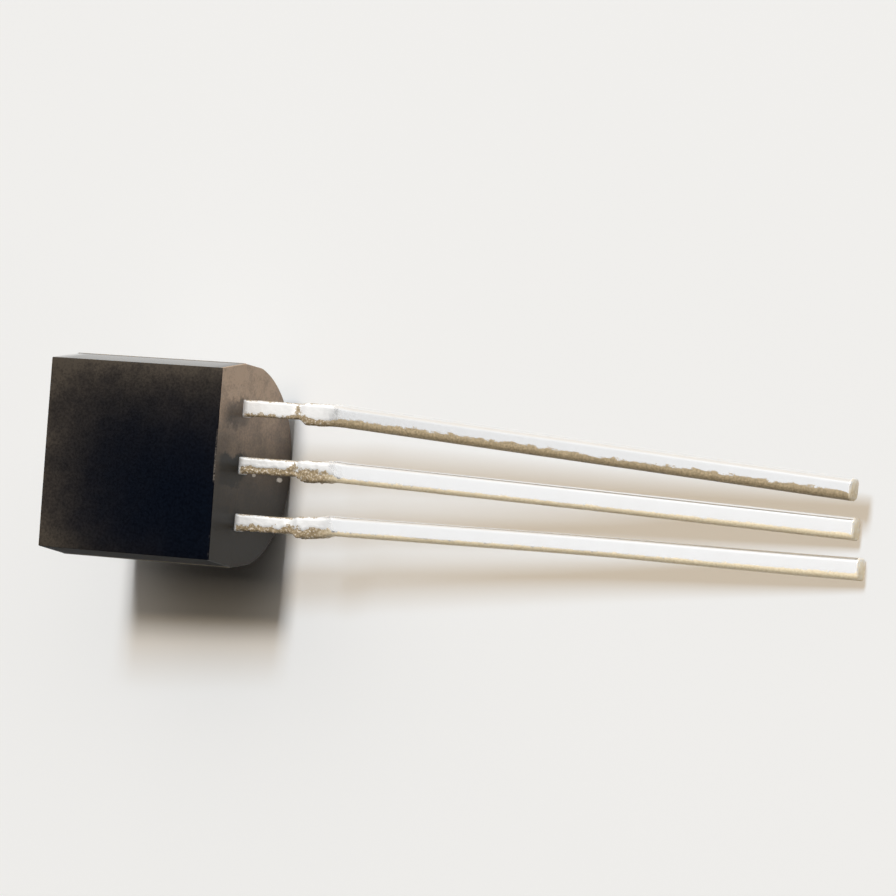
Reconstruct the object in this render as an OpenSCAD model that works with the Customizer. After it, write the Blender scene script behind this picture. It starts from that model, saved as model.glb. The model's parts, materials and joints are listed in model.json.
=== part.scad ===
// Three-lead radio receiver chip in a moulded D-shaped case, lying on its round back.
// Modelled with +X along the leads, Y across them and +Z out of the flat front,
// from the middle of the lead-side face at the parting line, and then laid to rest.

/* [Moulded body] */
// Length of the body along the leads
body_h = 4.45; // [4.2:0.05:5.4]
// Width of the flat front face
flat_w = 4.24; // [3.8:0.02:4.4]
// Width at the parting line, where the body is widest
parting_w = 4.55; // [4.46:0.01:5.2]
// Depth of the front half, from the parting line to the flat
front_depth = 1.07; // [0.9:0.01:1.4]
// Depth of the back half, from the parting line to the crown of the round back
back_depth = 2.45; // [2.2:0.01:2.8]
// Radius of the round back
back_r = 2.28; // [2.2:0.01:2.7]
// Draft of the back half's sides, in degrees
side_draft = 5; // [2:0.5:8]
// Draft of the two end faces, in degrees
end_draft = 1.5; // [0.5:0.5:5]

/* [Lead frame strip] */
// Thickness of the stamped strip
strip_t = 0.38; // [0.3:0.01:0.5]
// Spacing of the leads where they leave the body
lead_pitch = 1.27; // [1.15:0.01:1.4]
// Width of a lead between the body and the dam bar
neck_w = 0.4; // [0.3:0.01:0.5]
// Distance from the body to the dam bar
neck_l = 1.36; // [1:0.02:2]
// Width of a lead across its dam bar stubs
dam_w = 0.56; // [0.52:0.01:0.7]
// Length of the dam bar along the lead
dam_l = 0.84; // [0.6:0.02:1.2]
// Length of lead inside the body, before the flag and the posts
root_l = 0.95; // [0.7:0.05:1.2]
// Length of the die flag
flag_l = 2; // [1.8:0.05:2.4]
// Length of a bond post
post_l = 1; // [0.7:0.05:1.3]
// Width of a bond post
post_w = 0.7; // [0.5:0.02:0.8]
// Slit between the die flag and each post
frame_gap = 0.17; // [0.12:0.01:0.25]

/* [Dipped leads] */
// Length of the left lead from the body to its tip
left_l = 14.9; // [12.5:0.02:16]
// Length of the middle lead from the body to its tip
middle_l = 14.72; // [12.5:0.02:16]
// Length of the right lead from the body to its tip
right_l = 14.9; // [12.5:0.02:16]
// Width of the solder-dipped lead
run_w = 0.48; // [0.4:0.01:0.5]
// Thickness of the solder-dipped lead
run_t = 0.42; // [0.4:0.01:0.5]
// Edge radius of the solder-dipped lead
run_r = 0.12; // [0.05:0.01:0.18]
// How far the solder laps back over the dam bar
run_lap = 0.2; // [0.1:0.02:0.4]
// Sideways set of the left lead's tip
left_sway = 0.07; // [-0.4:0.01:0.4]
// Sideways set of the middle lead's tip
middle_sway = -0.37; // [-0.5:0.01:0.3]
// Sideways set of the right lead's tip
right_sway = -0.82; // [-0.9:0.01:0.3]
// Set of the left lead's tip towards the flat side
left_rise = -0.31; // [-0.5:0.01:0.5]
// Set of the middle lead's tip towards the flat side
middle_rise = -0.33; // [-0.5:0.01:0.5]
// Set of the right lead's tip towards the flat side
right_rise = 0.31; // [-0.5:0.01:0.5]

/* [Chip and bond wires] */
// Width of the silicon die
die_w = 1; // [0.8:0.02:1.1]
// Length of the silicon die
die_l = 1; // [0.8:0.02:1.2]
// Thickness of the silicon die
die_t = 0.25; // [0.15:0.01:0.3]
// Thickness of the die attach layer
attach_t = 0.03; // [0.02:0.005:0.06]
// Rim of die attach that shows round the die
attach_rim = 0.05; // [0.02:0.01:0.08]
// Distance of a bond pad from the die's edge
pad_inset = 0.12; // [0.08:0.01:0.2]
// Diameter of a bond wire
wire_d = 0.03; // [0.025:0.001:0.05]
// Diameter of a wire's bonded ends
bond_d = 0.09; // [0.07:0.005:0.12]
// Thickness of a wire's bonded ends
bond_t = 0.03; // [0.02:0.002:0.05]
// Height of a wire's loop above the straight line between its ends
loop_h = 0.16; // [0.14:0.01:0.3]

/* [Hidden] */
$fn = 64;
wire_sides = 8;
// Overrun of every cut past the face it goes through
overrun = 0.5;

// What the drafts take off at the crown and at the back of the section
crown_x = -back_depth * tan(end_draft);
back_taper = (back_depth + overrun) * tan(side_draft);

// Places along the strip
flag_w = 2 * lead_pitch - post_w - 2 * frame_gap;
flag_x = -root_l - flag_l;
post_x = -root_l - post_l;
die_x = -root_l - flag_l / 2;
die_z = attach_t + die_t;
ground_x = -root_l - (flag_l - die_l) / 4 + attach_rim / 2;

// A dipped lead starts inside its dam bar and runs straight to its tip
run_x = neck_l + dam_l - run_lap;
left_bend = [left_l, left_sway, left_rise];
middle_bend = [middle_l, middle_sway, middle_rise];
right_bend = [right_l, right_sway, right_rise];
function run_l(bend) = bend[0] - run_x;
function climb(bend) = asin(bend[2] / run_l(bend));
function yaw(bend) = asin(bend[1] / (run_l(bend) * cos(climb(bend))));
function tip_x(bend) = run_x + run_l(bend) * cos(climb(bend)) * cos(yaw(bend));

// Corners of a tip's end face, in the plane of the body's middle
function tip_low(bend) = [
    tip_x(bend) + run_t / 2 * sin(climb(bend)),
    bend[2] - strip_t / 2 - run_t / 2 * cos(climb(bend))
];
function tip_high(bend) = [
    tip_x(bend) - run_t / 2 * sin(climb(bend)),
    bend[2] - strip_t / 2 + run_t / 2 * cos(climb(bend))
];

// The chip lies on the lead-side edge of its round back and on its lowest tips
bends = [left_bend, middle_bend, right_bend];
low_corners = [for (bend = bends) tip_low(bend)];
high_corners = [for (bend = bends) tip_high(bend)];
rest_dip = min([for (c = low_corners) atan((c[1] + back_depth) / (c[0] - crown_x))]);
lift = back_depth * cos(rest_dip) + crown_x * sin(rest_dip);
near_x = (-body_h - crown_x) * cos(rest_dip) - back_depth * sin(rest_dip);
far_x = max([for (c = high_corners) c[0] * cos(rest_dip) + c[1] * sin(rest_dip)]);

module at_rest() {
    translate([-(near_x + far_x) / 2, 0, lift])
        rotate([0, rest_dip, 0])
            children();
}

// Extrudes a section drawn in Y and Z along +X
module along_x(length) {
    rotate([90, 0, 90])
        linear_extrude(length)
            children();
}

// Section across the leads: drafted front and back halves, and the round back
module d_section() {
    intersection() {
        polygon([
            [-flat_w / 2, front_depth],
            [flat_w / 2, front_depth],
            [parting_w / 2, 0],
            [parting_w / 2 - back_taper, -back_depth - overrun],
            [back_taper - parting_w / 2, -back_depth - overrun],
            [-parting_w / 2, 0]
        ]);
        union() {
            translate([0, back_r - back_depth])
                circle(back_r);
            translate([-parting_w / 2 - overrun, back_r - back_depth])
                square([parting_w + 2 * overrun, back_depth - back_r + front_depth + overrun]);
        }
    }
}

// Side view of the body, with both ends drafted away from the parting line
module end_profile() {
    front_set = front_depth * tan(end_draft);
    polygon([
        [0, 0],
        [-front_set, front_depth],
        [front_set - body_h, front_depth],
        [-body_h, 0],
        [-body_h - crown_x, -back_depth],
        [crown_x, -back_depth]
    ]);
}

module body_form() {
    intersection() {
        translate([-body_h, 0, 0])
            along_x(body_h)
                d_section();
        rotate([90, 0, 0])
            linear_extrude(parting_w + 2 * overrun, center = true)
                end_profile();
    }
}

// A stretch of the strip, from one X to another, with its front at the parting line
module strip(from_x, to_x, width) {
    translate([from_x, -width / 2, -strip_t])
        cube([to_x - from_x, width, strip_t]);
}

module run_section() {
    flat_part = [run_w - 2 * run_r, run_t - 2 * run_r];
    square([run_w, flat_part[1]], center = true);
    square([flat_part[0], run_t], center = true);
    for (side = [-1, 1], end = [-1, 1])
        translate([side * flat_part[0] / 2, end * flat_part[1] / 2])
            circle(run_r);
}

// One lead, centred on the middle of the body: neck, dam bar stubs and dipped run
module lead(bend) {
    strip(-root_l, neck_l, neck_w);
    strip(neck_l, neck_l + dam_l, dam_w);
    translate([run_x, 0, -strip_t / 2])
        rotate([0, -climb(bend), yaw(bend)])
            along_x(run_l(bend))
                run_section();
}

module left_form() {
    translate([0, -lead_pitch, 0]) {
        lead(left_bend);
        strip(post_x, -root_l, post_w);
    }
}

module middle_form() {
    lead(middle_bend);
    strip(flag_x, -root_l, flag_w);
}

module right_form() {
    translate([0, lead_pitch, 0]) {
        lead(right_bend);
        strip(post_x, -root_l, post_w);
    }
}

module attach_form() {
    size = [die_l + 2 * attach_rim, die_w + 2 * attach_rim];
    translate([die_x - size[0] / 2, -size[1] / 2, 0])
        cube([size[0], size[1], attach_t]);
}

module die_form() {
    translate([die_x - die_l / 2, -die_w / 2, attach_t])
        cube([die_l, die_w, die_t]);
}

// A wire that arches from its bond on the die to its bond on the strip
module wire_form(pad, foot) {
    reach = foot - pad;
    span = norm(reach);
    heading = atan2(reach[1], reach[0]);
    slope = asin(reach[2] / span);
    arch_r = (span * span / 4 + loop_h * loop_h) / (2 * loop_h);
    half_arch = asin(span / (2 * arch_r));
    for (place = [pad, foot])
        translate(place)
            cylinder(d = bond_d, h = bond_t);
    translate(pad + [0, 0, bond_t])
        rotate([0, -slope, heading])
            translate([span / 2, 0, loop_h - arch_r])
                rotate([90, half_arch - 90, 0])
                    rotate_extrude(angle = 2 * half_arch)
                        translate([arch_r, 0])
                            circle(d = wire_d, $fn = wire_sides);
}

module side_wire(side) {
    wire_form([die_x, side * (die_w / 2 - pad_inset), die_z],
              [post_x + post_l / 2, side * lead_pitch, 0]);
}

module ground_form() {
    wire_form([die_x + die_l / 2 - pad_inset, 0, die_z], [ground_x, 0, 0]);
}

module moulded_body() {
    color([0.11, 0.11, 0.12])
        at_rest()
            difference() {
                body_form();
                left_form();
                middle_form();
                right_form();
                attach_form();
                die_form();
                side_wire(-1);
                side_wire(1);
                ground_form();
            }
}

module lead_left() {
    color("silver")
        at_rest()
            left_form();
}

module lead_middle() {
    color("silver")
        at_rest()
            middle_form();
}

module lead_right() {
    color("silver")
        at_rest()
            right_form();
}

module die_attach() {
    color("goldenrod")
        at_rest()
            attach_form();
}

module die() {
    color("slategray")
        at_rest()
            die_form();
}

module left_wire() {
    color("gold")
        at_rest()
            side_wire(-1);
}

module right_wire() {
    color("gold")
        at_rest()
            side_wire(1);
}

module ground_wire() {
    color("gold")
        at_rest()
            ground_form();
}

moulded_body();
lead_left();
lead_middle();
lead_right();
die_attach();
die();
left_wire();
right_wire();
ground_wire();
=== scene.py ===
import json
import math

import bmesh
import bpy
from mathutils import Matrix, Vector, noise


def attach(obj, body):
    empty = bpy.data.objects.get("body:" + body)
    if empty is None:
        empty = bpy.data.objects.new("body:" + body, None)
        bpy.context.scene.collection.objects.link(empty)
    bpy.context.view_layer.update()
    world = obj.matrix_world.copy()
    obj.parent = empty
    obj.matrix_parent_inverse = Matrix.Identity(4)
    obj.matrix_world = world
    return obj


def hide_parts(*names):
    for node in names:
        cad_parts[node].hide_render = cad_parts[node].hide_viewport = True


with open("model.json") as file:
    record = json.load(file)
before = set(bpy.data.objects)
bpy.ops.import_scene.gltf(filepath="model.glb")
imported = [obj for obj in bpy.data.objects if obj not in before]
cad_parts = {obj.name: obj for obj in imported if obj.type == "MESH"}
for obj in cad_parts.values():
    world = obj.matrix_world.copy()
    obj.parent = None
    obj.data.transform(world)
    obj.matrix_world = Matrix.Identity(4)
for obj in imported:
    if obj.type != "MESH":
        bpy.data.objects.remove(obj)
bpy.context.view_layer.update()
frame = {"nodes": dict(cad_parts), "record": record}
scene = bpy.context.scene
scene.view_settings.view_transform = "Standard"
mounts = {mount["name"]: mount for mount in frame["record"]["mounts"]}
mm = 0.001
tiny = 1e-5  # mm, for finding vertices that lie on a plane
print("frame loaded")


class Wire:  # a shader socket that takes part in sums
    def __init__(self, finish, socket):
        self.finish = finish
        self.socket = socket

    def math(self, operation, first, second):
        return self.finish.node("ShaderNodeMath", {"operation": operation}, {0: first, 1: second})

    def __add__(self, other):
        return self.math("ADD", self, other)

    def __radd__(self, other):
        return self.math("ADD", other, self)

    def __sub__(self, other):
        return self.math("SUBTRACT", self, other)

    def __rsub__(self, other):
        return self.math("SUBTRACT", other, self)

    def __mul__(self, other):
        return self.math("MULTIPLY", self, other)

    def __rmul__(self, other):
        return self.math("MULTIPLY", other, self)

    def __truediv__(self, other):
        return self.math("DIVIDE", self, other)

    def __pow__(self, other):
        return self.math("POWER", self, other)

    def __rpow__(self, other):
        return self.math("POWER", other, self)


class Finish:  # a node tree and the few calls that fill it
    def __init__(self, owner):
        self.owner = owner
        owner.use_nodes = True
        self.tree = owner.node_tree

    def node(self, kind, settings=None, sockets=None, out=0):
        made = self.tree.nodes.new(kind)
        for key, value in (settings or {}).items():
            setattr(made, key, value)
        for key, value in (sockets or {}).items():
            self.join(value, made.inputs[key])
        return Wire(self, made.outputs[out])

    def join(self, value, socket):
        if isinstance(value, Wire):
            self.tree.links.new(value.socket, socket)
        else:
            socket.default_value = value

    def feed(self, nodeName, sockets):
        for key, value in sockets.items():
            self.join(value, self.tree.nodes[nodeName].inputs[key])

    def place(self):  # object coordinates in millimetres
        spot = self.node("ShaderNodeTexCoord", out="Object")
        return self.node("ShaderNodeVectorMath", {"operation": "SCALE"}, {0: spot, "Scale": 1 / mm})

    def grain(self, spot, size, detail, rough):  # noise with lumps of this size in mm
        return self.node("ShaderNodeTexNoise", None,
                         {"Vector": spot, "Scale": 1 / size, "Detail": detail, "Roughness": rough}, "Fac")

    def ease(self, value, low, high):  # 0 below low, 1 above high, smooth between
        return self.node("ShaderNodeMapRange", {"interpolation_type": "SMOOTHSTEP"},
                         {"Value": value, "From Min": low, "From Max": high})

    def mix(self, share, first, second):
        return self.node("ShaderNodeMix", {"data_type": "RGBA"},
                         {"Factor": share, "A": first, "B": second}, "Result")

    def along(self, spot, axis):  # how far a spot lies along an axis
        return self.node("ShaderNodeVectorMath", {"operation": "DOT_PRODUCT"}, {0: spot, 1: axis}, "Value")

    def bump(self, height, depth, strength):  # depth in mm
        return self.node("ShaderNodeBump", None,
                         {"Height": height, "Distance": depth * mm, "Strength": strength})


def newFinish(name, **fixed):
    finish = Finish(bpy.data.materials.new(name))
    finish.feed("Principled BSDF", {key.replace("_", " "): value for key, value in fixed.items()})
    return finish


# The moulded case, in mm: +X out of the lead-side face, Y across, +Z out of the flat front
caseSizes = {
    "length": 4.45,
    "flatWidth": 4.24,
    "partingWidth": 4.55,
    "frontDepth": 1.07,
    "backDepth": 2.45,
    "backRadius": 2.28,
    "sideDraft": math.radians(5),
    "endDraft": math.radians(1.5),
    "flash": 0.008,  # how far the parting line stands out
    "flashHalf": 0.03,
    "edgeRound": 0.018,
    "edgeSteps": 2,
    "sharpFrom": math.radians(25),  # edges that turn more than this are rounded
    "backSteps": 40,
    "cells": 12,  # divisions along the case and across the flat
    "crown": 0.02,  # how far the flat falls away towards its rim
}

flatSpot = Vector(mounts["front_flat"]["pos_m"])
outOfFlat = Vector(mounts["front_flat"]["axis"])
alongLeads = Vector((outOfFlat.z, 0, -outOfFlat.x))
acrossLeads = outOfFlat.cross(alongLeads)
startSpot = flatSpot + alongLeads * caseSizes["length"] / 2 * mm - outOfFlat * caseSizes["frontDepth"] * mm
turned = Matrix((alongLeads, acrossLeads, outOfFlat)).transposed().to_4x4()
atRest = Matrix.Translation(startSpot) @ turned @ Matrix.Scale(mm, 4)


def finishPiece(name, bm, finishes, nodes):
    bmesh.ops.transform(bm, matrix=atRest, verts=bm.verts)
    bmesh.ops.recalc_face_normals(bm, faces=bm.faces)
    for face in bm.faces:
        face.smooth = True
    mesh = bpy.data.meshes.new(name)
    bm.to_mesh(mesh)
    bm.free()
    piece = bpy.data.objects.new(name, mesh)
    scene.collection.objects.link(piece)
    for finish in finishes:
        mesh.materials.append(finish.owner)
    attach(piece, "root")
    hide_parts(*nodes)
    print(name, len(mesh.polygons), "faces")
    return piece


def sideMeetsBack(sizes, half):  # turn from the crown to the place where the drafted side starts
    axis = sizes["backRadius"] - sizes["backDepth"]
    slope = math.tan(sizes["sideDraft"])
    reach = half + axis * slope
    square = 1 + slope ** 2
    room = (reach * slope) ** 2 - square * (reach ** 2 - sizes["backRadius"] ** 2)
    drop = (reach * slope + math.sqrt(room)) / square
    return math.atan2(reach - drop * slope, drop)


def makeCase(sizes):
    bm = bmesh.new()
    half = sizes["partingWidth"] / 2 - sizes["flash"]
    axis = sizes["backRadius"] - sizes["backDepth"]
    start = -sizes["flash"]
    length = sizes["length"] - 2 * sizes["flash"]
    middle = -sizes["length"] / 2

    # half of the section: the round back from its crown, the drafted side and half of the flat
    crown = bm.verts.new((start, 0, -sizes["backDepth"]))
    spun = bmesh.ops.spin(bm, geom=[crown], cent=(start, 0, axis), axis=(1, 0, 0),
                          angle=sideMeetsBack(sizes, half), steps=sizes["backSteps"])
    last = [item for item in spun["geom_last"] if isinstance(item, bmesh.types.BMVert)][0]
    for y, z in ((half, 0), (sizes["flatWidth"] / 2, sizes["frontDepth"]), (0, sizes["frontDepth"])):
        spot = bm.verts.new((start, y, z))
        edge = bm.edges.new((last, spot))
        last = spot
    bmesh.ops.subdivide_edges(bm, edges=[edge], cuts=sizes["cells"] // 2 - 1)
    bmesh.ops.mirror(bm, geom=bm.verts[:] + bm.edges[:], axis="Y", merge_dist=tiny)

    # the section is drawn out along the case and divided
    section = bmesh.ops.contextual_create(bm, geom=bm.edges[:])["faces"]
    drawn = bmesh.ops.extrude_face_region(bm, geom=section)["geom"]
    ends = [item for item in drawn if isinstance(item, bmesh.types.BMVert)]
    bmesh.ops.translate(bm, vec=(-length, 0, 0), verts=ends)
    ribs = [edge for edge in bm.edges if abs(edge.verts[0].co.x - edge.verts[1].co.x) > length / 2]
    bmesh.ops.subdivide_edges(bm, edges=ribs, cuts=sizes["cells"] - 1, use_grid_fill=True)
    for height in (-sizes["flashHalf"], 0, sizes["flashHalf"]):
        bmesh.ops.bisect_plane(bm, geom=bm.verts[:] + bm.edges[:] + bm.faces[:], dist=tiny,
                               plane_co=(0, 0, height), plane_no=(0, 0, 1))

    # both ends are drafted towards the back, and the flat is a little crowned
    depth = sizes["frontDepth"] + sizes["backDepth"]
    for vert in bm.verts:
        inwards = (sizes["frontDepth"] - vert.co.z) / depth * sizes["backDepth"] * math.tan(sizes["endDraft"])
        onFlat = vert.co.z > sizes["frontDepth"] - tiny
        vert.co.x = middle + (vert.co.x - middle) * (1 - 2 * inwards / length)
        if onFlat:
            acrossShare = 2 * vert.co.y / sizes["flatWidth"]
            alongShare = 2 * (vert.co.x - middle) / length
            vert.co.z -= sizes["crown"] * (acrossShare ** 2 + alongShare ** 2) / 2

    # the edges are slightly round
    def sharp(edge):
        level = abs(edge.verts[0].co.z - edge.verts[1].co.z) < tiny
        atParting = level and abs(edge.verts[0].co.z) < 2 * sizes["flashHalf"]
        return len(edge.link_faces) == 2 and edge.calc_face_angle() > sizes["sharpFrom"] and not atParting

    bmesh.ops.recalc_face_normals(bm, faces=bm.faces)
    bmesh.ops.bevel(bm, geom=[edge for edge in bm.edges if sharp(edge)], affect="EDGES",
                    offset=sizes["edgeRound"], offset_type="OFFSET", segments=sizes["edgeSteps"],
                    profile=0.5, material=-1, clamp_overlap=True)

    # flash along the parting line of the sides
    ridge = [vert for vert in bm.verts if abs(vert.co.z) < tiny]
    bmesh.ops.scale(bm, verts=ridge, vec=(1, sizes["partingWidth"] / 2 / half, 1))

    # the flat has the second finish
    lowest = sizes["frontDepth"] - sizes["crown"] - 1.5 * sizes["edgeRound"]
    for face in bm.faces:
        if min(vert.co.z for vert in face.verts) > lowest:
            face.material_index = 1
    return bm


def onCase(finish, spot, axis):  # place on the case in mm, along one of its own axes
    return finish.along(spot, axis) - startSpot.dot(axis) / mm


# The leads, in mm along and round each lead
leadSizes = {
    "strip": 0.38,
    "neckHalf": 0.2,
    "neckSlim": 0.03,  # the necks are bare of solder on one side
    "neckLength": 1.36,
    "damLength": 0.84,
    "damLow": 0.28,  # the cut dam bar stands out more on one side
    "damHigh": 0.22,
    "root": 0.95,  # depth of the flag's and the posts' shoulder in the case
    "shoulder": 0.01,
    "mouth": 0.1,  # the section changes over this depth on both sides of the face
    "solderLow": 0.255,  # reach to -Y where the solder starts
    "runStart": 2.0,
    "runHalf": 0.24,
    "runThickHalf": 0.207,
    "tipRound": 0.03,
    "tipStep": 0.009,  # from each end of the tip's rounding to the ring next to it
    "tipStain": (0.039, 0.027),  # the sheared tip is stained from and fully at these lengths before its end
    "crown": 0.002,
    "sides": 72,
    "fineStart": -0.12,
    "fineReach": 1.2,  # fine rings go on this far along the run
    "fineStep": 0.03,
    "runStep": 0.13,
    "lumpScales": ((7, 1.0), (19, 0.6), (41, 0.4)),  # how fine and how strong
    "solderReach": 0.6,  # the dipped solder starts over this length of the run
    "solderWander": 0.15,
    "neckRagged": 0.09,
    "neckDrossAndShade": 0.85,
    "bandEdge": (-0.06, 0.03),
    "damMark": (0.03, 0.16),
    "twistReach": 1.5,
    "bowFrom": (0.8, 2.4),
}
# per lead, two run entries set where the brown band along the run's low side starts and how dark it is,
# painted shade that is a painted reflection on the right lead; another sets the painted shade beside the lead
# on the case's lead-side face
leads = {  # slim and bow are how far a run stays short of its full width and swings out, near the case
    "lead_left": {
        "exit": -1.27, "innerEnd": -1.95, "innerHalf": 0.35, "corner": 0.095, "twist": math.radians(-3),
        "slim": 0.05, "bow": 0.06, "seed": 3.1, "lumps": 0.026, "ragged": 0.02, "neckBandFrom": -0.02,
        "runShadeFrom": -0.08, "runDrossAndShade": 0.05, "paintedShade": 1.0,
    },
    "lead_middle": {
        "exit": 0.0, "innerEnd": -2.95, "innerHalf": 0.75, "corner": 0.095, "twist": math.radians(-3),
        "slim": 0.02, "bow": 0.01, "seed": 8.4, "lumps": 0.032, "ragged": 0.02, "neckBandFrom": 0.02,
        "runShadeFrom": -0.1, "runDrossAndShade": 0.05, "paintedShade": 0.9,
    },
    "lead_right": {
        "exit": 1.27, "innerEnd": -1.95, "innerHalf": 0.35, "corner": 0.13, "twist": math.radians(-1),
        "slim": 0.0, "bow": 0.0, "seed": 5.7, "lumps": 0.014, "ragged": 0.06, "neckBandFrom": -0.1,
        "runShadeFrom": -0.035, "runDrossAndShade": 0.74, "paintedShade": 0.5,
    },
}

epoxyLook = {
    "black": (0.006, 0.006, 0.007, 1),
    "speck": (0.02, 0.018, 0.015, 1),
    # dust colour, also painted sheen on the lead-side face
    "dustAndSheen": (0.47, 0.34, 0.24, 1),
    "paleFleck": (0.88, 0.84, 0.78, 1),
    # painted highlight along the flash on the sides
    "flashHighlight": (0.30, 0.25, 0.19, 1),
    "flatBlack": (0.0003, 0.0012, 0.004, 1),
    "flatSpeck": (0.002, 0.0042, 0.0095, 1),
    # warm painted reflection on the flat
    "flatSheen": (0.066, 0.054, 0.042, 1),
    # painted highlight on the flat's edge above the leads
    "edgeHighlight": (0.22, 0.19, 0.16, 1),
    "speckSize": 0.06,
    "cloudSize": 0.45,
    "flatCloudSize": 0.7,
    "farFade": 0.45,  # the painted reflection halves over this distance from a rim of the flat
    "rightFade": 0.4,
    "leftFade": 0.3,
    "flecks": (  # pale flecks on the lead-side face: across, up, half width, half height, strength
        (-0.26, -1.92, 0.06, 0.16, 0.95),
        (-0.19, -0.72, 0.045, 0.1, 0.5),
    ),
}


def glossyEpoxy(look):
    finish = newFinish("glossy moulded epoxy", IOR=1.55, Specular_IOR_Level=0.25, Coat_IOR=2.0,
                       Coat_Roughness=0.04)
    spot = finish.place()
    across = onCase(finish, spot, acrossLeads)
    up = onCase(finish, spot, outOfFlat)
    clouds = finish.ease(finish.grain(spot, look["cloudSize"], 5.0, 0.65), 0.3, 0.7)
    specks = finish.ease(finish.grain(spot, look["speckSize"], 3.0, 0.7), 0.3, 0.7)

    # dust and painted sheen on the lead-side face, paler towards the right lead as a painted reflection of
    # the lit floor, with painted shade beside the leads
    leadSide = finish.ease(onCase(finish, spot, alongLeads), -0.09, -0.05)
    # painted shade: the face is darker towards the flat on its -Y half and beside each lead, where the leads
    # shade it
    paintedShade = 0.45 * finish.ease(up, -0.4, 0.9) * (1 - finish.ease(across, 0.2, 1.6))
    atLeads = finish.ease(up, -0.5, -0.1) * (1 - finish.ease(up, 0.5, 1.0))
    for lead in leads.values():
        off = across - lead["exit"] + 0.08 + 0.3 * (clouds - 0.5)
        paintedShade = paintedShade + lead["paintedShade"] * atLeads * (1 - finish.ease(off * off, 0.02, 0.2))
    dustAndSheen = leadSide * finish.ease(across, -2.9, 2.3) ** 3 * (0.8 + 0.5 * clouds) * (0.75 + 0.4 * specks)
    colour = finish.mix(specks, look["black"], look["speck"])
    colour = finish.mix(dustAndSheen * (1 - finish.ease(paintedShade, 0.0, 0.9)), colour, look["dustAndSheen"])
    for y, z, halfWidth, halfHeight, strength in look["flecks"]:
        off = ((across - y) / halfWidth) ** 2 + ((up - z) / halfHeight) ** 2 + 0.6 * (specks - 0.5)
        colour = finish.mix(strength * leadSide * (1 - finish.ease(off, 0.4, 1.0)), colour, look["paleFleck"])

    # the sides are painted pale along the flash as a highlight, polished by the right lead and dull by the
    # left one
    onSides = finish.ease(across * across, 4.5, 4.8) * (1 - leadSide)
    onFlash = onSides * (1 - finish.ease(up * up, 0.0008, 0.012))
    colour = finish.mix(onFlash * (0.4 + 0.4 * clouds), colour, look["flashHighlight"])
    polish = finish.ease(across, 1.5, 2.1) * (1 - leadSide) * (1 - onFlash)
    dull = finish.ease(0 - across, 1.9, 2.1) * (1 - leadSide)
    pits = finish.grain(spot, 0.09, 4.0, 0.6) * (1 - polish)
    finish.feed("Principled BSDF", {
        "Base Color": colour,
        "Roughness": 0.36 - 0.3 * polish + 0.4 * dull + 0.12 * specks * (1 - polish),
        "Coat Weight": 0.02 + 0.98 * polish,
        "Normal": finish.bump(pits, 0.004, 0.4),
    })
    return finish


def matteEpoxy(look):
    finish = newFinish("matte moulded epoxy", IOR=1.5, Specular_IOR_Level=0.02)
    spot = finish.place()
    along = onCase(finish, spot, alongLeads)
    across = onCase(finish, spot, acrossLeads)
    clouds = finish.ease(finish.grain(spot, look["flatCloudSize"], 5.0, 0.65), 0.3, 0.7)
    specks = finish.ease(finish.grain(spot, look["speckSize"], 3.0, 0.7), 0.3, 0.7)

    # a warm painted reflection fades inwards from the far and right rims of the flat and from its far left
    # corner
    length = caseSizes["length"]
    half = caseSizes["flatWidth"] / 2
    farRim = 2 ** ((0 - along - length) / look["farFade"])
    rightRim = 2 ** ((across - half) / look["rightFade"])
    leftRim = 2 ** ((0 - across - half) / look["leftFade"])
    flatSheen = 0.65 * farRim + 0.95 * rightRim + 0.6 * leftRim * farRim ** 0.5
    flatSheen = flatSheen * (0.7 + 0.6 * clouds) * (0.7 + 0.6 * specks)
    colour = finish.mix(flatSheen, finish.mix(specks, look["flatBlack"], look["flatSpeck"]), look["flatSheen"])

    # the edge above the leads is painted pale as a highlight here and there, most of all above the middle
    # lead
    atEdge = finish.ease(along, -0.05, -0.02)
    highlightShare = 0.75 * (1 - finish.ease(across * across, 0.06, 0.2)) + 0.5 * finish.ease(clouds, 0.55, 0.9)
    colour = finish.mix(atEdge * highlightShare * specks, colour, look["edgeHighlight"])
    pits = finish.grain(spot, 0.05, 4.0, 0.65)
    finish.feed("Principled BSDF", {
        "Base Color": colour,
        "Roughness": 0.5 + 0.2 * specks,
        "Normal": finish.bump(pits, 0.006, 0.6),
    })
    return finish


epoxy = [glossyEpoxy(epoxyLook), matteEpoxy(epoxyLook)]
case = finishPiece("case", makeCase(caseSizes), epoxy, ["moulded_body"])
case.modifiers.new("even shading", "WEIGHTED_NORMAL")


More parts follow.
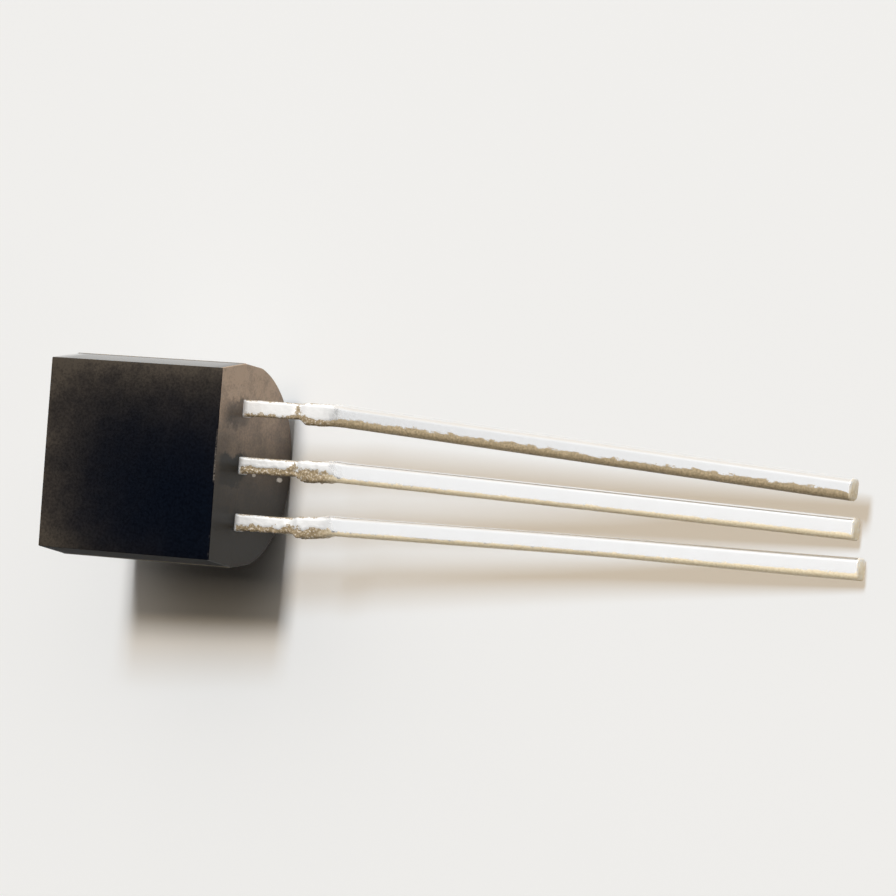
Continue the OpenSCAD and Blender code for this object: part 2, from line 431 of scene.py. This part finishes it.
def leadStations(lead, length):  # along, reach to -Y, reach to +Y, half thickness, corner radius, lumpiness
    sizes = leadSizes
    strip = sizes["strip"] / 2
    neck = sizes["neckHalf"]
    root, mouth = sizes["root"], sizes["mouth"]
    dam = sizes["neckLength"]
    damEnd = dam + sizes["damLength"]
    damLow, damHigh = sizes["damLow"], sizes["damHigh"]
    inner, corner = lead["innerHalf"], lead["corner"]
    half, thick, tipRound = sizes["runHalf"], sizes["runThickHalf"], sizes["tipRound"]
    slimNeck, slimRun = neck - sizes["neckSlim"], half - lead["slim"]
    return [
        (lead["innerEnd"], inner, inner, strip, 0.01, 0.0),
        (-root, inner, inner, strip, 0.01, 0.0),
        (-root + sizes["shoulder"], neck, neck, strip, 0.02, 0.0),
        (-mouth, neck, neck, strip, 0.02, 0.0),
        (mouth, slimNeck, neck, strip, 0.05, 1.0),
        (dam - 0.12, slimNeck, neck, strip, 0.05, 1.0),
        (dam - 0.02, 0.9 * slimNeck, 0.95 * neck, 0.93 * strip, 0.06, 0.9),  # the notch before the dam bar
        (dam + 0.08, 0.95 * neck, 0.95 * neck, 0.93 * strip, 0.06, 0.9),
        (dam + 0.18, damLow, damHigh, 0.98 * strip, 0.07, 1.0),
        (damEnd - 0.3, damLow, damHigh, strip, 0.08, 1.0),
        (damEnd, sizes["solderLow"], half, 0.5 * (strip + thick), 0.1, 0.6),
        (damEnd + 0.2, slimRun, half + 0.02, thick, corner, 0.4),  # the solder's first bead
        (damEnd + 0.5, slimRun, half + 0.004, thick, corner, 0.15),
        (0.6 * length, slimRun, half, thick, corner, 0.08),
        (length - tipRound, half, half, thick, corner, 0.08),
        (length, half - tipRound, half - tipRound, thick - tipRound, corner - tipRound, 0.0),
    ]


def sectionAt(stations, along):
    for low, high in zip(stations, stations[1:]):
        if along <= high[0]:
            share = (along - low[0]) / (high[0] - low[0])
            return [a + (b - a) * share for a, b in zip(low, high)]
    return stations[-1]


def sectionSpot(turn, low, high, thick, corner):  # a spot on an oblong with round corners
    quarter, share = divmod(turn / (math.pi / 2) % 4, 1)
    if quarter % 2:
        share = 1 - share
    reach = high if quarter in (0, 3) else low
    side, arc, top = thick - corner, math.pi / 2 * corner, reach - corner
    walked = share * (side + arc + top)
    if walked < side:
        y, z = reach, walked
    elif walked < side + arc:
        bend = (walked - side) / corner
        y, z = top + corner * math.cos(bend), side + corner * math.sin(bend)
    else:
        y, z = top - (walked - side - arc), thick
    return (y if quarter in (0, 3) else -y), (z if quarter < 2 else -z)


def steps(start, end, step):
    count = max(1, round((end - start) / step))
    return [start + (end - start) * k / count for k in range(1, count + 1)]


def eased(value, low, high):
    share = max(0, min(1, (value - low) / (high - low)))
    return share * share * (3 - 2 * share)


def between(first, second, share):
    return first + (second - first) * share


def makeLead(name, lead):
    sizes = leadSizes
    runStart = sizes["runStart"]
    lowEdge, highEdge = sizes["bandEdge"]
    stainFrom, stainFull = sizes["tipStain"]
    tip = atRest.inverted() @ Vector(mounts[name + "_tip"]["pos_m"])
    base = Vector((runStart, lead["exit"], -sizes["strip"] / 2))
    run = (tip - base).normalized()
    length = runStart + (tip - base).length
    stations = leadStations(lead, length)
    fineEnd = runStart + sizes["fineReach"]
    places = [lead["innerEnd"], -sizes["root"], -sizes["root"] + sizes["shoulder"], sizes["fineStart"]]
    places += steps(sizes["fineStart"], fineEnd, sizes["fineStep"])
    places += steps(fineEnd, length - sizes["tipRound"], sizes["runStep"])
    places.insert(-1, places[-1] - sizes["tipStep"])
    places += [length - sizes["tipStep"], length]

    # a ring is drawn out from place to place, and its ends are closed
    bm = bmesh.new()
    # the first layer marks dross and the painted shade band along the low side, the last sets how dark they
    # are
    stainAndShadeLayer = bm.verts.layers.float.new("grain")
    dippedLayer = bm.verts.layers.float.new("dipped")
    drossAndShadeLayer = bm.verts.layers.float.new("drossAndShade")
    facingX = Matrix(((0, 0, 1, 0), (1, 0, 0, 0), (0, 1, 0, 0), (0, 0, 0, 1)))
    bmesh.ops.create_circle(bm, segments=sizes["sides"], radius=1.0, cap_ends=False,
                            matrix=Matrix.Translation((places[0], 0, 0)) @ facingX)
    ring = bm.edges[:]
    for before, place in zip(places, places[1:]):
        drawn = bmesh.ops.extrude_edge_only(bm, edges=ring)["geom"]
        ring = [item for item in drawn if isinstance(item, bmesh.types.BMEdge)]
        moved = [item for item in drawn if isinstance(item, bmesh.types.BMVert)]
        bmesh.ops.translate(bm, vec=(place - before, 0, 0), verts=moved)
    bmesh.ops.holes_fill(bm, edges=[edge for edge in bm.edges if edge.is_boundary], sides=0)

    # every ring takes the section of its place, lumpy where the solder is rough
    bend = Vector((1, 0, 0)).rotation_difference(run).to_matrix()
    for vert in bm.verts:
        along = vert.co.x
        low, high, thick, corner, lumps = sectionAt(stations, along)[1:]
        y, z = sectionSpot(math.atan2(vert.co.z, vert.co.y), low, high, thick, corner)
        offset = Vector((0, y, z - math.copysign(sizes["crown"], z) * (y / high) ** 2))
        if along > 0:
            spot = Vector((along, y, z)) + Vector((lead["seed"], 0, 0))
            lump = sum(strength * noise.noise(spot * scale) for scale, strength in sizes["lumpScales"])
            onRun = eased(along + sizes["solderWander"] * lump, runStart, runStart + sizes["solderReach"])

            # rough solder lumps lie on the low side; its brown band is dross on the necks and painted shade
            # on the runs, a painted reflection on the right lead's run; the band also darkens round the dam
            # mark and along the necks' high edge
            bandFrom = between(lead["neckBandFrom"], lead["runShadeFrom"], onRun)
            ragged = between(sizes["neckRagged"], lead["ragged"], onRun)
            lowSide = 1 - eased(y + ragged * lump, bandFrom + lowEdge, bandFrom + highEdge)
            fromDam = abs(along - sizes["neckLength"] + 0.08 * lump) + max(0, y + 0.2 * lump - 0.06)
            atDam = 0.8 * (1 - eased(fromDam, *sizes["damMark"]))
            atEdge = 0.7 * eased(y + 0.03 * lump, high - 0.05, high) * (1 - onRun)
            atTip = eased(along, length - stainFrom, length - stainFull)
            vert[stainAndShadeLayer] = max(lowSide, atDam, atEdge, 0.5 * atTip)
            vert[dippedLayer] = onRun * (1 - 0.8 * atTip)
            vert[drossAndShadeLayer] = between(sizes["neckDrossAndShade"], lead["runDrossAndShade"], onRun) * (1 - 0.6 * atTip)
            depth = lumps * lead["lumps"] * (0.12 + 0.88 * lowSide) * (0.8 + lump)
            offset *= 1 - depth / max(offset.length, 0.1)
        spin = lead["twist"] * eased(along, runStart, runStart + sizes["twistReach"])
        offset = Matrix.Rotation(spin, 3, "X") @ offset
        offset.y += lead["bow"] * eased(along, *sizes["bowFrom"]) * (1 - eased(along, 0.5 * length, length))
        if along > runStart:
            vert.co = base + run * (along - runStart) + bend @ offset
        else:
            vert.co = Vector((along, base.y, base.z)) + offset
    return bm


solderLook = {  # pairs of colours, mottled
    "bright": ((0.96, 0.96, 0.955, 1), (0.92, 0.915, 0.90, 1)),
    # pale and dark browns for dross and for the painted shade band along the leads' low side
    "paleDrossAndShade": ((0.80, 0.66, 0.43, 1), (0.97, 0.85, 0.63, 1)),
    "darkDrossAndShade": ((0.095, 0.058, 0.022, 1), (0.40, 0.28, 0.135, 1)),
    "grainSize": 0.045,
    "cloudSize": 0.35,
}


def solderFinish(look):
    finish = newFinish("dipped solder")
    spot = finish.place()
    grain, dipped, drossAndShade = [finish.node("ShaderNodeAttribute", {"attribute_name": name}, out="Fac")
                            for name in ("grain", "dipped", "drossAndShade")]
    fine = finish.ease(finish.grain(spot, look["grainSize"], 4.0, 0.65), 0.3, 0.7)
    clouds = finish.grain(spot, look["cloudSize"], 3.0, 0.55)

    # brown dross mottled on the bare necks; the brown band along each run's low side is painted shade, and on
    # the right lead a painted reflection
    mottled = 1 - 0.6 * finish.ease(fine, 0.65, 1.0) * (1 - dipped)
    drossAndShadeShare = finish.ease(0.5 * fine + grain, 0.55, 0.95) * mottled
    bright = finish.mix(clouds, *look["bright"])
    thin = finish.mix(fine, *look["paleDrossAndShade"])
    thick = finish.mix(fine, *look["darkDrossAndShade"])
    finish.feed("Principled BSDF", {
        "Base Color": finish.mix(drossAndShadeShare, bright, finish.mix(drossAndShade, thin, thick)),
        "Roughness": 0.4 - 0.2 * dipped + 0.25 * drossAndShadeShare,
        "Metallic": (0.35 + 0.5 * dipped) * (1 - 0.9 * drossAndShadeShare),
        "Normal": finish.bump(fine * (1 - 0.7 * dipped), 0.004, 0.3),
    })
    return finish


solder = solderFinish(solderLook)
for name, lead in leads.items():
    piece = finishPiece("dipped_" + name, makeLead(name, lead), [solder], [name])
    piece.visible_diffuse = False  # the bright sides throw no glow on the paper

# What the case hides keeps its CAD shape
innerLooks = {
    "silver filled adhesive": {
        "nodes": ["die_attach"], "light": (0.75, 0.68, 0.5, 1), "dark": (0.5, 0.44, 0.33, 1),
        "cloudSize": 0.04, "rough": 0.4, "metallic": 0.6,
    },
    "polished silicon": {
        "nodes": ["die"], "light": (0.22, 0.23, 0.27, 1), "dark": (0.12, 0.13, 0.16, 1),
        "cloudSize": 0.12, "rough": 0.12, "metallic": 0.3,
    },
    "drawn gold": {
        "nodes": ["left_wire", "right_wire", "ground_wire"],
        "light": (0.95, 0.75, 0.3, 1), "dark": (0.86, 0.63, 0.24, 1),
        "cloudSize": 0.02, "rough": 0.2, "metallic": 1.0,
    },
}


def innerFinish(name, look):
    finish = newFinish(name, Metallic=look["metallic"])
    cloud = finish.grain(finish.place(), look["cloudSize"], 4.0, 0.6)
    finish.feed("Principled BSDF", {
        "Base Color": finish.mix(cloud, look["light"], look["dark"]),
        "Roughness": look["rough"] + 0.2 * cloud,
        "Normal": finish.bump(cloud, 0.2 * look["cloudSize"], 0.3),
    })
    return finish


for name, look in innerLooks.items():
    finish = innerFinish(name, look)
    for node in look["nodes"]:
        frame["nodes"][node].data.materials.clear()
        frame["nodes"][node].data.materials.append(finish.owner)
print("inner finishes set")

# Floor, light and camera
stage = {
    "floorHalf": 0.6,
    "floorCells": 8,
    "floorColour": (0.86, 0.86, 0.853, 1),
    "floorCloud": (0.8514, 0.8514, 0.84447, 1),
    "floorCloudSize": 6.0,
    "lampDistance": 1.4,
    "lampWidth": 0.2,
    "dimSide": (0.021, 0.018, 0.015, 1),
    "brightSide": (0.84, 0.79, 0.73, 1),
    "brightFrom": (0.28, 0.5),
    "strip": (0.90, 0.91, 0.93, 1),  # a long soft lamp overhead that only shiny surfaces show
    "stripAcross": (0.95, 0, 0.31),
    "stripHalf": 0.15,
    "stripSoft": 1.5,  # the strip has faded out at this many half widths
    "stripReach": (-0.16, 0.6),
    "stripFade": (0.03, 0.1),
    "stripAbove": (0.3, 0.5),
}
lamps = {  # the leads shade the floor only from the low one, so the shadows under them stay faint
    "top": {"towards": (0.085, 0.2, 1.0), "height": 0.35, "power": 1.5, "colour": (1.0, 0.84, 0.64),
            "leadShadows": False},
    "high": {"towards": (0.085, 0.44, 1.0), "height": 0.22, "power": 8.2, "colour": (1.0, 0.81, 0.58),
             "leadShadows": False},
    "low": {"towards": (0.085, 0.585, 1.0), "height": 0.46, "power": 11.8, "colour": (0.626, 0.798, 1.0),
            "leadShadows": True},
}
camera = {
    "spot": (0.064186, 0.000096, 0.094917),
    "azimuth": math.radians(-0.557),
    "elevation": math.radians(55.438),
    "roll": math.radians(-85.292),
    "lens": 209.2,
    "sensor": 36,
    "clip": (0.001, 10),
}


def makeFloor():
    bm = bmesh.new()
    cells = stage["floorCells"]
    bmesh.ops.create_grid(bm, x_segments=cells, y_segments=cells, size=stage["floorHalf"])
    mesh = bpy.data.meshes.new("floor")
    bm.to_mesh(mesh)
    bm.free()
    floor = bpy.data.objects.new("floor", mesh)
    scene.collection.objects.link(floor)
    finish = newFinish("pale paper", Specular_IOR_Level=0.0, Roughness=0.9)
    cloud = finish.grain(finish.place(), stage["floorCloudSize"], 3.0, 0.5)
    colour = finish.mix(cloud, stage["floorColour"], stage["floorCloud"])
    finish.feed("Principled BSDF", {"Base Color": colour})
    mesh.materials.append(finish.owner)


def makeLamps():
    caseOnly = bpy.data.collections.new("case only")
    caseOnly.objects.link(case)
    for name, lamp in lamps.items():
        data = bpy.data.lights.new(name, "AREA")
        data.shape = "RECTANGLE"
        data.size, data.size_y = stage["lampWidth"], lamp["height"]
        data.energy = lamp["power"]
        data.color = lamp["colour"]
        holder = bpy.data.objects.new(name, data)
        towards = Vector(lamp["towards"]).normalized()
        holder.location = towards * stage["lampDistance"]
        holder.rotation_mode = "QUATERNION"
        holder.rotation_quaternion = towards.to_track_quat("Z", "Y")
        if not lamp["leadShadows"]:
            holder.light_linking.blocker_collection = caseOnly
        scene.collection.objects.link(holder)


def makeRoom():
    world = bpy.data.worlds.new("room")
    scene.world = world
    room = Finish(world)
    spot = room.node("ShaderNodeTexCoord", out="Generated")
    reach = room.along(spot, (0, 1, 0))
    bright = room.ease(reach, *stage["brightFrom"])
    off = room.along(spot, stage["stripAcross"])
    half = stage["stripHalf"]
    near = 1 - room.ease(off * off, half ** 2, (stage["stripSoft"] * half) ** 2)
    start, end = stage["stripReach"]
    startFade, endFade = stage["stripFade"]
    within = room.ease(reach, start - startFade, start + startFade)
    within = within * (1 - room.ease(reach, end - endFade, end))
    above = room.ease(room.along(spot, (0, 0, 1)), *stage["stripAbove"])
    shiny = room.node("ShaderNodeLightPath", out="Is Glossy Ray")
    sides = room.mix(bright, stage["dimSide"], stage["brightSide"])
    room.feed("Background", {"Color": room.mix(near * within * above * shiny, sides, stage["strip"])})


def makeCamera():
    data = bpy.data.cameras.new("camera")
    data.lens = camera["lens"]
    data.sensor_width = camera["sensor"]
    data.clip_start, data.clip_end = camera["clip"]
    back = Vector((math.cos(camera["elevation"]) * math.cos(camera["azimuth"]),
                   math.cos(camera["elevation"]) * math.sin(camera["azimuth"]),
                   math.sin(camera["elevation"])))
    level = Vector((0, 0, 1)).cross(back).normalized()
    upright = back.cross(level)
    right = math.cos(camera["roll"]) * level + math.sin(camera["roll"]) * upright
    axes = Matrix((right, back.cross(right), back)).transposed().to_4x4()
    eye = bpy.data.objects.new("camera", data)
    eye.matrix_world = Matrix.Translation(camera["spot"]) @ axes
    scene.collection.objects.link(eye)
    scene.camera = eye


makeFloor()
makeLamps()
makeRoom()
makeCamera()
print("stage set")
